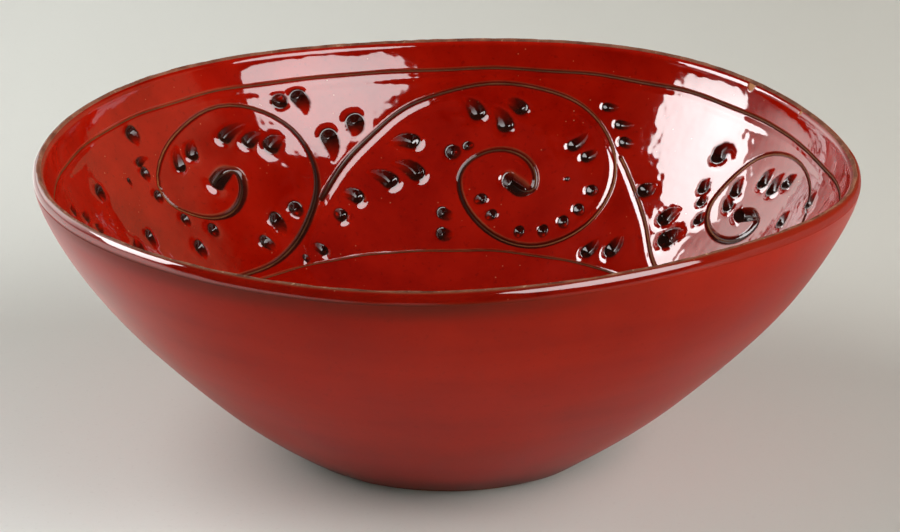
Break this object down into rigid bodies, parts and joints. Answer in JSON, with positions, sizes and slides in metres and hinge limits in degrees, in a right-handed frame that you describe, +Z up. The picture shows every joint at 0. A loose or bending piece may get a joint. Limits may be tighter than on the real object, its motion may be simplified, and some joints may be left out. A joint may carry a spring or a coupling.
{
  "type": "bowl",
  "caption": "Wide hand-thrown earthenware bowl with flaring sides, a low foot ring and a carved scroll frieze under red glaze inside, for serving or holding food.",
  "frame": {"origin": "on the table under the middle of the bowl", "axes": "+Z up along the bowl's axis, +Y to the far side in the picture, +X to its right"},
  "size_m": [0.2806, 0.2806, 0.1064],
  "materials": {
    "biscuit_clay": "bare fired clay, matt",
    "satin_red_glaze": "satin red glaze",
    "gloss_red_glaze": "deep gloss red glaze",
    "iron_stain": "dark iron stain in a carved line"
  },
  "bodies": {
    "root": {"clay_body": "biscuit_clay", "foot_ring": "biscuit_clay", "outer_glaze": "satin_red_glaze", "lip_glaze": "gloss_red_glaze", "inner_glaze": "gloss_red_glaze", "upper_border_line": "iron_stain", "lower_border_line": "iron_stain", "scroll_line_1": "iron_stain", "scroll_line_2": "iron_stain", "scroll_line_3": "iron_stain", "scroll_line_4": "iron_stain", "scroll_line_5": "iron_stain", "scroll_line_6": "iron_stain"}
  },
  "joints": []
}
